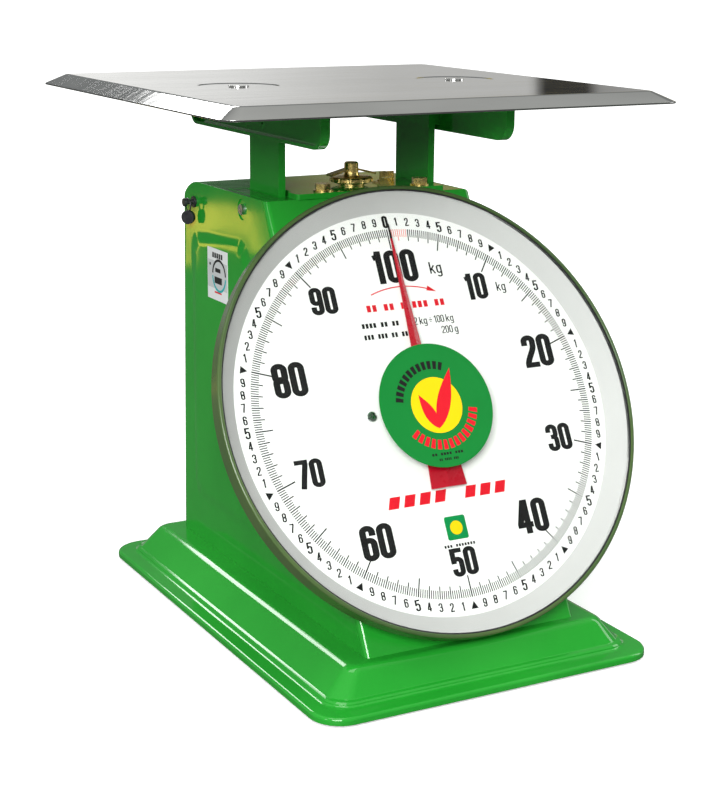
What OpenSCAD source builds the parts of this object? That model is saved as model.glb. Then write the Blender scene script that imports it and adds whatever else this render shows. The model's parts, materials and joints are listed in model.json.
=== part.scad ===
// Mechanical dial platform scale: spring balance with an inclined dial.
// Frame: +Z up, the dial faces -Y, origin under the middle of the overall box, at floor level.
// Millimetres throughout.

/* [Pan] */
// Side of the square pan
pan_side = 355; // [340:1:360]
// Height of the pan's flat top above the floor
pan_top_z = 402.6; // [400:0.1:405]
// Height of the sloping edge, from its rim to the flat top
pan_rise = 8.4; // [6:0.2:10]
// Width of the sloping edge
pan_slope_w = 14.3; // [10:0.1:18]
// Thickness of the pan's sheet
pan_sheet = 1.5; // [1.2:0.1:1.8]
// Distance of the pan screws from the middle plane
pan_screw_x = 91; // [88:1:92]
// Radius of the shallow recess round each pan screw
recess_r = 32; // [24:1:36]

/* [Housing] */
// Width of the housing
body_w = 172; // [170:1:176]
// Height of the housing's top
body_top = 322.6; // [320:0.1:325]
// Front edge of the housing's top
top_front_y = -13.2; // [-15:0.1:-12]
// Back face of the housing at its foot
back_y = 155.4; // [150:0.1:160]
// Lean of the back face
back_lean = 1.9; // [0:0.1:2.5]
// Radius where the back rolls over into the top
back_roll_r = 38; // [30:1:42]
// Thickness of the housing's sheet
sheet = 1.6; // [1.2:0.1:2]

/* [Base] */
// Width of the base tray
base_w = 272; // [266:1:280]
// Plan radius of the tray's corners
base_corner_r = 23; // [21:1:30]
// Height of the raised platform on the tray
platform_z = 29.5; // [28:0.5:31]

/* [Dial] */
// Backward tilt of the dial
dial_tilt = 28.2; // [27.5:0.1:28.8]
// Height of the dial's centre
dial_z = 184.5; // [184:0.1:186]
// Distance of the dial's centre in front of the origin
dial_y = -111.9; // [-113:0.1:-111]
// Inner radius of the green rim
rim_inner_r = 163.2; // [162.8:0.1:163.6]
// Radius of the visible white dial
dial_r = 149.5; // [148:0.5:150]
// Depth of the dial behind the lens
dial_depth = 10.3; // [10:0.1:11]

/* [Mechanism] */
// Travel of the pan from empty to full load
travel = 24.95; // [20:0.01:25]
// Length of the parallel levers
lever_len = 90; // [88:1:92]
// Module of the rack and pinion
gear_module = 0.5; // [0.5:0.1:0.5]
// Teeth on the pinion
pinion_teeth = 14; // [14:1:14]
// Turns in each main spring
spring_turns = 22; // [16:1:23]
// Wire diameter of the main springs
spring_wire = 5.6; // [4:0.2:5.6]

/* [Hidden] */

$fn = 96;
eps = 0.02;
fit = 0.05;                       // radial running clearance of shafts and pins

// Colours
green = [0.05, 0.50, 0.14];
bright_green = [0.0, 0.55, 0.22];
steel = [0.72, 0.73, 0.75];
dark_steel = [0.16, 0.16, 0.17];
brass = [0.80, 0.62, 0.25];
rubber = [0.06, 0.06, 0.06];

// Pan
pan_y = 28.1;
rim_z = pan_top_z - pan_rise;
pan_lip = 1.2;
pan_screw_y = 20;
pan_corner_r = 12;
pan_fold_r = 6;                   // outer radius of the fold between the edge and the flat top
recess_depth = 0.4;
screw_head_h = 1;
flange_top = pan_top_z - recess_depth - pan_sheet;

// Base
base_front = -205.6;
base_back = 192.4;
foot_h = 1.5;                     // the rubber feet lift the tray by this much
bead_w = 17;                      // width of the tray's edge up to its slope
ridge_side = 37.5;                // distance of the flat platform from the tray's sides
ridge_front = 30;
ridge_back = 33;

// Housing
half_w = body_w / 2;
side_r = 5;                       // radius of the top side edges
rear_r = 12;                      // radius of the rear vertical edges
front_r = 4;                      // radius of the front slanted edges
seam_back = 4.5;                  // the cover starts this far behind the front face
seam_gap = 0.9;
top_split_y = 62;                 // the top panel ends here and the cover goes on
top_flange = 6;                   // width of the cover's flange along the top panel
front_bottom_y = top_front_y - (body_top - platform_z) * tan(dial_tilt);
island_h = 1.8;
island_slope = 15;                // width of the soft edge of the raised panels
dimple_r = 8;
dimple_depth = 1;
side_screw = [27, 312];           // Y and Z of the cover screws
seal_yz = [116, 306.5];           // Y and Z of the seal bolt

// Dial, measured along the dial's normal: 0 is the lens's underside, + is outward
face_t = -21.7;                   // the housing's front face
dial_t = -dial_depth;
drum_r = 164.4;
drum_back_r = 158.5;
lens_r = 162.1;
lens_t = 2;
post_r = 152;
post_body_r = 3;
dial_screw_x = 47;

// Inner frame
side_x = 70;                      // inner face of the frame's side plates
side_t = 3;
top_frame_z = 306;
top_frame_t = 6;
guide_y = 31;                     // the guide pins, and so the middle of the pillars
lever_swing = 2 * asin(travel / 2 / lever_len);
pivot_y = guide_y + lever_len * cos(lever_swing / 2);
upper_z = 252;
lower_z = 124;
lever_drop = travel / 2;
shaft_r = 4;
pin_r = 3;
arm_x = 49;                       // inner face of the lever arms
arm_t = 5;

// Load frame
pillar_x = 60.5;
pillar_t = 5.5;
pillar_y0 = 6;
pillar_y1 = 56;
pillar_bottom = 84;
bar_z0 = 92;
bar_z1 = 104;
mech_y = 17;                      // plane of the springs and the zero spindle
spring_x = 30;
spring_r = 14;
hook_r = 8;
hook_wire_r = 2.2;
hook_play = 0.6;                  // the hooks' holes are off centre by this much

// Gear train
pinion_r = gear_module * pinion_teeth / 2;
pinion_t = -45;
pressure = 20;
rack_pin_v = -60;
rack_pin_t = -52;
slide_span = travel * sin(dial_tilt);

// ---------------------------------------------------------------- helpers

// Places children in the dial's frame: +Z outward, +Y up the dial
module at_dial(t = 0) {
    translate([0, dial_y, dial_z]) rotate([90 - dial_tilt, 0, 0]) translate([0, 0, t]) children();
}

// Lays a Y-Z outline out along X
module along_x(x0, x1) {
    rotate([90, 0, 90]) translate([0, 0, x0]) linear_extrude(x1 - x0) children();
}

// Lays an X-Z outline out along Y
module along_y(y0, y1) {
    translate([0, y1, 0]) rotate([90, 0, 0]) linear_extrude(y1 - y0) children();
}

module box(lo, hi) {
    translate(lo) cube(hi - lo);
}

// A cylinder along +X from x0 to x1 at a given Y and Z
module rod_x(x0, x1, y, z, r) {
    translate([x0, y, z]) rotate([0, 90, 0]) cylinder(h = x1 - x0, r = r);
}

module tube(r_out, r_in, h) {
    difference() {
        cylinder(h = h, r = r_out);
        translate([0, 0, -1]) cylinder(h = h + 2, r = r_in);
    }
}

module both_sides() {
    children();
    mirror([1, 0, 0]) children();
}

// A strip |x| <= hw from y0 to y1 whose two far corners are rounded
module strip(hw, y0, y1, r) {
    translate([-hw, y0]) square([2 * hw, y1 - r - y0]);
    translate([-hw + r, y1 - r - 1]) square([2 * (hw - r), r + 1]);
    for (s = [-1, 1]) translate([s * (hw - r), y1 - r]) circle(r);
}

// Polygon corners rounded to radius r
function unit(v) = v / norm(v);
function turned(v, a) = [v[0] * cos(a) - v[1] * sin(a), v[0] * sin(a) + v[1] * cos(a)];
function corner(a, b, c, r, n) =
    let (u = unit(a - b), w = unit(c - b), half = acos(u * w) / 2,
         m = b + unit(u + w) * r / sin(half), p = b + u * r / tan(half) - m,
         s = sign(u[0] * w[1] - u[1] * w[0]), sweep = s * (180 - 2 * half))
    [for (i = [0:n]) m + turned(p, -sweep * i / n)];
function rounded(pts, r, n = 6) =
    let (k = len(pts))
    [for (i = [0:k - 1]) each corner(pts[(i + k - 1) % k], pts[i], pts[(i + 1) % k], r, n)];
function arc(c, r, a0, a1, n) = [for (i = [0:n]) c + r * [cos(a0 + (a1 - a0) * i / n),
                                                         sin(a0 + (a1 - a0) * i / n)]];

// A level ring of points round a rectangle |x| <= hx, y0 to y1, with corners of radius r
function ring(hx, y0, y1, z, r, n = 8) =
    [for (q = [0:3], j = [0:n])
        let (a = 90 * (q + j / n), cx = (q == 0 || q == 3 ? 1 : -1) * (hx - r), cy = q < 2 ? y1 - r : y0 + r)
        [cx + r * cos(a), cy + r * sin(a), z]];

// A pressed sheet: rings up its outside, then down its inside
module pressed(outer, inner) {
    rings = concat(outer, inner);
    n = len(rings[0]);
    m = len(rings);
    top = len(outer);
    polyhedron([for (r = rings) each r], concat(
        [[for (j = [n - 1:-1:0]) (top - 1) * n + j], [for (j = [0:n - 1]) top * n + j]],
        [for (k = [0:m - 1], j = [0:n - 1]) if (k != top - 1)
            let (up = (k + 1) % m * n, here = k * n, next = (j + 1) % n)
            each [[here + j, up + j, up + next], [here + j, up + next, here + next]]]));
}

// A screw with a slotted round head, standing along +Z with its seat at z = 0
module slotted_screw(shank_r, shank_l, head_r, head_h, slot_w = 1.2) {
    difference() {
        union() {
            translate([0, 0, -shank_l]) cylinder(h = shank_l + eps, r = shank_r);
            cylinder(h = head_h, r = head_r);
        }
        translate([-head_r - 1, -slot_w / 2, head_h * 0.5]) cube([2 * head_r + 2, slot_w, head_h]);
    }
}

// A hexagon bolt with a washer under its head
module hex_bolt(shank_r, shank_l, across_flats, head_h, washer_r, washer_h = 1.2) {
    translate([0, 0, -shank_l]) cylinder(h = shank_l + eps, r = shank_r);
    cylinder(h = washer_h, r = washer_r);
    translate([0, 0, washer_h - eps]) cylinder(h = head_h, r = across_flats / sqrt(3), $fn = 6);
}

// ---------------------------------------------------------------- base

// Outline of the tray's edge: distance in from the edge, height
ridge_r = 11;
edge_curve = concat(
    [[0, foot_h]], arc([2.4, 4.6], 2.4, 180, 90, 4),
    [[9.6, 7.3]], arc([11, 10.3], 3, -80, -30, 2), arc([16.2, 7.8], 3.2, 150, 90, 2),
    [[bead_w, 11.4]], arc([ridge_side, platform_z - ridge_r], ridge_r, 140, 90, 5));

// Beyond the bead, the slope is narrower at the front and back than at the sides
function tray_inset(i, ridge) =
    i < bead_w ? i : bead_w + (i - bead_w) * (ridge - bead_w) / (ridge_side - bead_w);

function tray_ring(p, d) = ring(
    base_w / 2 - p[0] - d, base_front + tray_inset(p[0], ridge_front) + d,
    base_back - tray_inset(p[0], ridge_back) - d, max(foot_h, p[1] - d), base_corner_r - 0.45 * p[0] - d);

foot_xy = [[-84, -158], [84, -158], [-84, 145], [84, 145]];

module base_plate() color(green) {
    last = len(edge_curve) - 1;
    pressed([for (p = edge_curve) tray_ring(p, 0)], [for (i = [last:-1:0]) tray_ring(edge_curve[i], sheet)]);
    // Pads that the feet are stuck under
    for (p = foot_xy) translate([p[0], p[1], 4]) cylinder(h = platform_z - sheet - 4 + eps, r = 11);
}

module rubber_feet() color(rubber)
    for (p = foot_xy) translate([p[0], p[1], 0]) cylinder(h = 4, r = 10);

// ---------------------------------------------------------------- housing

module side_outline(i) {
    back_top = back_y - (body_top - platform_z) * tan(back_lean);
    zc = body_top - back_roll_r;
    yc = back_y - (zc - platform_z) * tan(back_lean) - back_roll_r / cos(back_lean);
    r = back_roll_r - i;
    step = i / cos(dial_tilt);
    translate([yc, zc]) circle(r);
    polygon([[front_bottom_y + step - tan(dial_tilt), platform_z - 1],
             [top_front_y + step - i * tan(dial_tilt), body_top - i],
             [yc, body_top - i], [yc, zc],
             [yc + r * cos(back_lean), zc + r * sin(back_lean)],
             [back_y - i / cos(back_lean) + tan(back_lean), platform_z - 1]]);
}

// The housing's outer form, or the same form made i smaller all round
module housing_form(i) {
    intersection() {
        along_x(-half_w + i, half_w - i) side_outline(i);
        translate([0, back_y, platform_z]) rotate([back_lean, 0, 0]) translate([0, 0, -60])
            linear_extrude(480) strip(half_w - i, -420, -i, rear_r - i);
        translate([0, front_bottom_y, platform_z]) rotate([-dial_tilt, 0, 0])
            translate([0, 0, -260]) linear_extrude(740)
                mirror([0, 1]) strip(half_w - i, -420, -i, front_r - i / 2);
        along_y(-260, 260) strip(half_w - i, platform_z - 9, body_top - i, side_r - i / 2);
        box([-half_w, -260, platform_z], [half_w, 260, body_top + 1]);
    }
}

module housing_shell() {
    difference() {
        housing_form(0);
        difference() {
            housing_form(sheet);
            box([-half_w, -260, platform_z - 2], [half_w, 260, platform_z - 1]);
        }
    }
}

// The part of the shell that belongs to the front frame, grown by g
module front_zone(g) {
    translate([0, front_bottom_y, platform_z]) rotate([-dial_tilt, 0, 0])
        box([-half_w - 5, -20, -100], [half_w + 5, seam_back + g, 420]);
    box([-half_w + top_flange - g, -60, body_top - 2.2 - g],
        [half_w - top_flange + g, top_split_y + g, body_top + 5]);
}

module front_frame() color(green) {
    difference() {
        intersection() {
            housing_shell();
            front_zone(0);
        }
        // Slots for the pillars
        both_sides() box([pillar_x - 2, pillar_y0 - 3, body_top - 9],
                         [pillar_x + pillar_t + 2, pillar_y1 + 3, body_top + 9]);
        // Way for the zero spindle, the bridge bolts and the pointer shaft
        translate([0, mech_y, body_top - 9]) cylinder(h = 20, r = 12);
        for (x = bridge_bolt_x) translate([x, bridge_bolt_y, body_top - 9]) cylinder(h = 20, r = 3.1);
        at_dial(face_t - 12) cylinder(h = 20, r = 9);
        for (a = [45:90:315]) at_dial(face_t - 12) rotate(a) translate([62, 0, 0])
            cylinder(h = 20, r = 2.05);
    }
    // Feet of the panel, bent inwards along the tray
    both_sides() box([30, front_bottom_y + 1.1, platform_z],
                     [half_w - 8, front_bottom_y + 18, platform_z + sheet]);
}

front_slope = tan(dial_tilt);
// Outline of the raised panels, in Y and Z, made i smaller all round
function island(i) = rounded(
    [[124 - i, 62 + i], [124 - i, 286 - i], [22 + 0.6 * i, 291.5 - i],
     [top_front_y - (body_top - 62 - i) * front_slope + 44 + 1.2 * i, 62 + i]], 16 - 0.5 * i);

module wrap_cover() color(green) {
    difference() {
        union() {
            difference() {
                housing_shell();
                front_zone(seam_gap);
            }
            both_sides() hull() {
                along_x(half_w - sheet / 2, half_w) polygon(island(0));
                along_x(half_w + island_h / 2, half_w + island_h - 0.2) polygon(island(island_slope / 2));
                along_x(half_w + island_h / 2, half_w + island_h) polygon(island(island_slope));
            }
        }
        both_sides() for (p = [side_screw, rear_screw]) rod_x(half_w - 8, half_w + 8, p[0], p[1], 2.05);
        // Dimple round the upper cover screw
        both_sides() rod_x(half_w - dimple_depth, half_w + 8, side_screw[0], side_screw[1], dimple_r);
        // Air slots in the back
        for (z = [70:12:106]) box([-24, back_y - 16, z], [24, back_y + 5, z + 4]);
    }
}

module cover_screws() color(steel)
    for (p = [[-1, side_screw, dimple_depth], [1, side_screw, dimple_depth], [1, rear_screw, 0]])
        translate([p[0] * (half_w - p[2]), p[1][0], p[1][1]]) rotate([0, p[0] * 90, 0]) rotate(35)
            slotted_screw(2, 9, 4, 2.6);

module seal_bolt() color(dark_steel)
    translate([-half_w, seal_yz[0], seal_yz[1]]) rotate([0, -90, 0]) {
        translate([0, 0, -8]) cylinder(h = 15.8, r = 2);
        cylinder(h = 1.6, r = 4.4);
        translate([0, 0, 7.2]) cylinder(h = 2.4, r = 3.2);
    }

module side_label() color("white")
    along_x(-half_w - island_h - 0.25, -half_w - island_h)
        translate([50, 236]) square([37.5, 40]);

// ---------------------------------------------------------------- seal that hangs on the bolt

seal_ring_r = 5;
seal_wire_r = 0.6;
seal_x = -half_w - 5.6;
seal_turn = 40;                   // the disc is turned towards the front on its twisted wire
seal_disc_r = 5.4;
seal_ring_z = seal_yz[1] + 2 + 0.1 + seal_wire_r - seal_ring_r;
seal_disc_z = seal_ring_z - seal_ring_r - 4.6;

module seal_ring(wire) {
    translate([seal_x, seal_yz[0], seal_ring_z]) rotate([0, 90, 0])
        rotate_extrude() translate([seal_ring_r, 0]) circle(wire, $fn = 24);
}

module seal_wire() color(steel) seal_ring(seal_wire_r);

module lead_seal() color(dark_steel)
    difference() {
        translate([seal_x, seal_yz[0], seal_disc_z]) rotate([0, 0, seal_turn])
            rod_x(-1.6, 1.6, 0, 0, seal_disc_r);
        seal_ring(seal_wire_r);
    }

// ---------------------------------------------------------------- dial drum

module dial_drum() color(green) at_dial()
    difference() {
        rotate_extrude() polygon([
            [22, face_t], [drum_back_r - 3, face_t], [drum_back_r - 0.9, face_t + 0.9],
            [drum_back_r, face_t + 3], [drum_r, -8], [drum_r, 0], [drum_r - 1.5, 0],
            [drum_r - 1.5, -8], [drum_back_r - 1.6, face_t + 3.2],
            [drum_back_r - 3, face_t + 1.6], [22, face_t + 1.6]]);
        for (a = [45:90:315]) rotate(a) translate([62, 0, face_t - 5]) cylinder(h = 12, r = 2.05);
        for (a = [0:60:300]) rotate(a) translate([post_r, 0, face_t - 5]) cylinder(h = 12, r = 2.05);
        for (s = [-1, 1]) translate([s * dial_screw_x, 0, face_t - 5]) cylinder(h = 12, r = 2.05);
    }

module drum_screws() color(steel) at_dial(face_t + 1.6)
    for (a = [45:90:315]) rotate(a) translate([62, 0, 0]) slotted_screw(2, 8, 4, 2.4);

module bezel_ring() color(green) at_dial()
    rotate_extrude() polygon(concat(
        [[drum_r + 0.1, -9], [drum_r + 1.8, -9]],
        arc([drum_r + 0.3, 2], 1.5, 0, 90, 6),
        [[rim_inner_r + 0.5, 3.5], [rim_inner_r, 3], [rim_inner_r, 2.3], [drum_r + 0.1, 2.3]]));

module lens_gasket() color(rubber) at_dial()
    tube(drum_r - 0.2, lens_r + 0.05, 2.2);

module lens() color([0.85, 0.9, 0.95, 0.3]) at_dial() cylinder(h = lens_t, r = lens_r);

module lens_badge() color(bright_green) at_dial(lens_t) cylinder(h = 0.4, r = 45.5);

module dial_reflector() color([0.82, 0.82, 0.83]) at_dial()
    rotate_extrude() polygon([
        [dial_r, dial_t + 0.05], [lens_r - 0.7, -0.05], [drum_r - 2, -0.05],
        [drum_r - 2, -1.3], [lens_r - 0.2, -1.3], [dial_r + 1.2, dial_t + 0.05]]);

module dial_plate() color("white") at_dial(dial_t - 0.8)
    difference() {
        cylinder(h = 0.8, r = dial_r + 6);
        translate([0, 0, -1]) cylinder(h = 4, r = 6);
        for (s = [-1, 1]) translate([s * dial_screw_x, 0, -1]) cylinder(h = 4, r = 2.05);
        for (a = [0:60:300]) rotate(a) translate([post_r, 0, -1]) cylinder(h = 4, r = 1.55);
    }

post_base = face_t + 1.6;
post_top = dial_t - 0.8;

module dial_posts() color(steel) at_dial() {
    for (a = [0:60:300]) rotate(a) translate([post_r, 0, post_base]) {
        cylinder(h = post_top - post_base, r = post_body_r);
        translate([0, 0, -1.6]) cylinder(h = 2, r = 2);
        cylinder(h = post_top - post_base + 0.8, r = 1.5);
    }
    for (s = [-1, 1]) translate([s * dial_screw_x, 0, post_base]) difference() {
        union() {
            cylinder(h = post_top - post_base, r = 5);
            translate([0, 0, -1.6]) cylinder(h = 2, r = 2);
        }
        translate([0, 0, 1]) cylinder(h = 12, r = 1.95);
    }
}

module dial_screws() color(dark_steel) at_dial(dial_t)
    for (s = [-1, 1]) translate([s * dial_screw_x, 0, 0]) rotate(20) slotted_screw(1.95, 7, 3.6, 1.8, 0.8);

// ---------------------------------------------------------------- inner frame

frame_screw_y = [100, 114];
lug_x = half_w - sheet - 0.4;      // outer face of the lugs that the cover is screwed to
rear_screw = seal_yz;             // the right side has a plain screw where the left has the seal

module frame_side() {
    difference() {
        union() {
            box([side_x, 96, platform_z], [side_x + side_t, 136, top_frame_z]);
            for (z = [platform_z, top_frame_z - side_t])
                box([side_x - 14, 96, z], [side_x + side_t, 136, z + side_t]);
        }
        for (z = [lower_z, upper_z]) rod_x(side_x - 5, side_x + 9, pivot_y, z, shaft_r);
        for (y = frame_screw_y) {
            translate([side_x - 7, y, platform_z - 5]) cylinder(h = 20, r = 2.55);
            translate([side_x - 7, y, top_frame_z - 9]) cylinder(h = 20, r = 2.05);
        }
    }
}

module frame_left() color(dark_steel) mirror([1, 0, 0]) frame_side();

module frame_right() color(dark_steel) frame_side();

module frame_top() color(dark_steel)
    difference() {
        union() {
            box([-side_x - side_t, -12, top_frame_z], [side_x + side_t, 132, top_frame_z + top_frame_t]);
            for (x = bridge_bolt_x) translate([x, bridge_bolt_y, top_frame_z])
                cylinder(h = body_top - sheet - top_frame_z, r = 6);
            // Lugs that the cover is screwed to
            both_sides() for (p = [side_screw, rear_screw]) {
                box([side_x, p[0] - 7, top_frame_z], [lug_x, p[0] + 7, top_frame_z + 10]);
                box([side_x + side_t + 0.4, p[0] - 7, top_frame_z - 5], [lug_x, p[0] + 7, top_frame_z + eps]);
            }
        }
        both_sides() for (p = [side_screw, rear_screw]) rod_x(side_x - 5, half_w, p[0], p[1], 2);
        both_sides() box([pillar_x - 2, pillar_y0 - 3, top_frame_z - 5],
                         [pillar_x + pillar_t + 2, pillar_y1 + 3, top_frame_z + 20]);
        translate([0, mech_y, top_frame_z - 5]) cylinder(h = 20, r = 8);
        for (x = bridge_bolt_x) translate([x, bridge_bolt_y, top_frame_z - 5]) cylinder(h = 30, r = 3);
        both_sides() for (y = frame_screw_y) translate([side_x - 7, y, top_frame_z - 5])
            cylinder(h = 20, r = 2.05);
    }

module frame_screws() color(steel) {
    both_sides() for (y = frame_screw_y) {
        translate([side_x - 7, y, platform_z + side_t]) slotted_screw(2.5, side_t, 4.4, 2.6);
        translate([side_x - 7, y, top_frame_z + top_frame_t]) slotted_screw(2, 12, 4, 2.4);
    }
}

bridge_bolt_x = [-36, 46];
bridge_bolt_y = -6;
bridge_z0 = body_top;
bridge_z1 = body_top + 4;
bridge_outline = rounded([[-61, -14.6], [63, -14.6], [63, 2.5], [57, 2.5], [57, 36], [-57, 36],
                          [-57, 2.5], [-61, 2.5]], 2.6, 5);

module bridge_plate() color(green)
    difference() {
        translate([0, 0, bridge_z0]) linear_extrude(bridge_z1 - bridge_z0) polygon(bridge_outline);
        translate([0, mech_y, bridge_z0 - 5]) cylinder(h = 20, r = 7);
        for (x = bridge_bolt_x) translate([x, bridge_bolt_y, bridge_z0 - 5]) cylinder(h = 20, r = 3.05);
        for (x = [25, 31]) translate([x, mech_y, bridge_z0 - 5]) cylinder(h = 20, r = 1.25);
    }

module bridge_bolts() color(brass)
    for (x = bridge_bolt_x) translate([x, bridge_bolt_y, bridge_z1]) rotate(12)
        hex_bolt(3, 22, 10.5, 4.6, 7);

// ---------------------------------------------------------------- zero adjustment

spindle_r = 3.5;
bush_top = bridge_z1 + 1.6;
spindle_top = bush_top + 8;
hanger_z0 = 274;
hanger_z1 = 294;

module zero_bush() color(brass) translate([0, mech_y, 0])
    difference() {
        union() {
            translate([0, 0, bridge_z0]) cylinder(h = bush_top - bridge_z0, r = 7);
            translate([0, 0, bridge_z1]) cylinder(h = bush_top - bridge_z1, r = 10);
        }
        translate([0, 0, bridge_z0 - 5]) cylinder(h = 30, r = spindle_r + fit);
    }

module zero_spindle() color(brass) translate([0, mech_y, 0]) {
    translate([0, 0, hanger_z0 - 8]) cylinder(h = spindle_top - hanger_z0 + 8, r = spindle_r);
    translate([0, 0, top_frame_z - 3]) cylinder(h = 2.6, r = 7.4);
}

knob_z = bush_top + 0.3;

module zero_knob() color(brass) translate([0, mech_y, knob_z]) {
    difference() {
        union() {
            rotate_extrude() polygon([[0, 0], [13.5, 0], [16.5, 1.2], [16.5, 3.6], [15, 4.6],
                                      [6.2, 5.4], [5.4, 8], [5.4, 14.6], [4.4, 15.6], [0, 15.6]]);
            // Two folded wings, sloping down and out
            for (s = [-1, 1]) rotate(s > 0 ? 0 : 180) translate([4, -4, 9.2]) rotate([0, 14, 0])
                cube([15.5, 8, 1.6]);
        }
        translate([0, 0, -1]) cylinder(h = spindle_top - knob_z + 1, r = spindle_r);
        for (a = [0:30:330]) rotate(a) translate([17.6, 0, -1]) cylinder(h = 8, r = 1.7);
    }
}

module index_clip() color(brass) translate([0, mech_y, bridge_z1]) {
    difference() {
        union() {
            box([21.5, -6, 0], [34, 6, 1.2]);
            box([21.5, -6, 0], [33.5, -4.8, 9.5]);
        }
        for (x = [25, 31]) translate([x, 0, -1]) cylinder(h = 4, r = 1.25);
        box([23, -7, 4.6], [32, -3, 5.2]);
    }
    for (x = [25, 31]) translate([x, 0, 1.2]) slotted_screw(1.25, 4, 2.3, 1.4, 0.6);
}

// ---------------------------------------------------------------- main springs and hanger

module hook_hole(z, y0, y1) {
    for (s = [-1, 1]) translate([s * spring_x, y0, z]) rotate([-90, 0, 0]) cylinder(h = y1 - y0, r = 4.5);
}

module hanger_bar() color(dark_steel)
    difference() {
        union() {
            box([-46, mech_y - 3, hanger_z0], [46, mech_y + 3, hanger_z1]);
            translate([0, mech_y, hanger_z0]) cylinder(h = hanger_z1 - hanger_z0, r = 8);
        }
        hook_hole(284 - hook_play, mech_y - 9, mech_y + 9);
        translate([0, mech_y, hanger_z0 - 5]) cylinder(h = 40, r = spindle_r + fit);
    }

top_hook_z = hanger_z0;
low_hook_z = 124;
spring_pitch = spring_wire - 0.1;
coil_len = (spring_turns - 1) * spring_pitch + spring_wire;
coil_z0 = (top_hook_z + low_hook_z - coil_len) / 2;
coil_z1 = coil_z0 + coil_len;

// Close-wound turns, each touching the next, as an unloaded extension spring has
module coil() {
    rotate_extrude() for (i = [0:spring_turns - 1])
        translate([spring_r, spring_wire / 2 + i * spring_pitch]) circle(spring_wire / 2, $fn = 32);
}

module hook(z) {
    translate([0, 0, z]) rotate([0, 90, 0]) rotate_extrude() translate([hook_r, 0])
        circle(hook_wire_r, $fn = 24);
}

// From a coil end at radius spring_r, height z0, in to the hook's wire at height z1
module hook_link(z0, z1) {
    run = sqrt(spring_r * spring_r + (z1 - z0) * (z1 - z0));
    translate([0, spring_r, z0]) rotate([atan2(spring_r, z1 - z0), 0, 0])
        cylinder(h = run, r = hook_wire_r);
}

module main_springs() color(steel)
    for (s = [-1, 1]) translate([s * spring_x, mech_y, 0]) {
        translate([0, 0, coil_z0]) coil();
        hook(top_hook_z);
        hook(low_hook_z);
        hook_link(coil_z1 - spring_wire / 2, top_hook_z - hook_r);
        hook_link(coil_z0 + spring_wire / 2, low_hook_z + hook_r);
    }

// ---------------------------------------------------------------- load frame

// Outline of the pan's edge: distance in from the edge, height. d is the depth below the outer face
function pan_curve(d) =
    let (fold = atan((pan_rise - pan_lip) / pan_slope_w))
    concat([[d, rim_z], [d, rim_z + pan_lip - d * 0.6]],
           arc([pan_slope_w + pan_fold_r * tan(fold / 2), pan_top_z - pan_fold_r], pan_fold_r - d,
               90 + fold, 90, 3));

function pan_ring(p) = ring(pan_side / 2 - p[0], pan_y - pan_side / 2 + p[0], pan_y + pan_side / 2 - p[0], p[1],
                            pan_corner_r - 0.4 * p[0]);

pan_inside = pan_curve(pan_sheet);

module pan() color(steel)
    difference() {
        union() {
            difference() {
                pressed([for (p = pan_curve(0)) pan_ring(p)],
                        [for (i = [len(pan_inside) - 1:-1:0]) pan_ring(pan_inside[i])]);
                for (s = [-1, 1]) translate([s * pan_screw_x, pan_screw_y, rim_z])
                    cylinder(h = 20, r = recess_r);
            }
            for (s = [-1, 1]) translate([s * pan_screw_x, pan_screw_y, 0]) rotate_extrude() polygon([
                [3.2, flange_top], [3.2, pan_top_z - recess_depth],
                [recess_r - 2.4, pan_top_z - recess_depth], [recess_r - 1, pan_top_z],
                [recess_r + 1, pan_top_z], [recess_r + 1, pan_top_z - pan_sheet],
                [recess_r - 0.6, pan_top_z - pan_sheet], [recess_r - 2, flange_top]]);
        }
        for (s = [-1, 1]) translate([s * pan_screw_x, pan_screw_y, rim_z]) cylinder(h = 20, r = 3.05);
    }

module pan_screws() color(steel)
    for (s = [-1, 1]) translate([s * pan_screw_x, pan_screw_y, pan_top_z - recess_depth]) {
        rotate(s * 8) slotted_screw(3, pan_sheet + bracket_t + 6, 7.5, screw_head_h, 2);
        translate([0, 0, -pan_sheet - bracket_t - 4.5]) cylinder(h = 4.5, r = 5.8, $fn = 6);
    }

bracket_z0 = 365.5;
bracket_t = 2.5;
bracket_front = -85;
bracket_back = 141;
bracket_end_r = 12;
bracket_lip = 7;                  // width of the lip along the bracket's lower edge
spacer_t = 5;                     // the bracket stands this far off the pillar
web_x = pillar_x + pillar_t + spacer_t;
bracket_screw_yz = [[18, 376], [44, 376], [18, 388], [44, 388]];
bracket_top = flange_top - bracket_t;

// The bracket's web, in Y and Z, made i smaller at its ends and below
module bracket_outline(i) {
    y0 = bracket_front + bracket_end_r;
    y1 = bracket_back - bracket_end_r;
    z = bracket_z0 + bracket_end_r;
    for (y = [y0, y1]) translate([y, z]) circle(bracket_end_r - i);
    translate([y0, bracket_z0 + i]) square([y1 - y0, bracket_end_r]);
    translate([bracket_front + i, z]) square([bracket_back - bracket_front - 2 * i, bracket_top - z + eps]);
}

module bracket() {
    difference() {
        union() {
            along_x(web_x, web_x + bracket_t) bracket_outline(0);
            along_x(web_x, web_x + bracket_lip) difference() {
                bracket_outline(0);
                bracket_outline(bracket_t);
            }
            box([web_x, bracket_front, bracket_top], [108, bracket_back, flange_top]);
            box([web_x - spacer_t, pillar_y0 + 2, bracket_z0 + 4], [web_x + eps, pillar_y1 - 2, flange_top]);
        }
        for (p = bracket_screw_yz) translate([0, p[0], p[1]]) rotate([0, 90, 0]) {
            translate([0, 0, web_x - 9]) cylinder(h = 20, r = 2.55);
            translate([0, 0, web_x + 0.4]) cylinder(h = 2.2, r1 = 2.55, r2 = 4.75);
        }
        translate([pan_screw_x, pan_screw_y, flange_top - 9]) cylinder(h = 20, r = 3.05);
    }
}

module bracket_left() color(green) mirror([1, 0, 0]) bracket();

module bracket_right() color(green) bracket();

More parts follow.
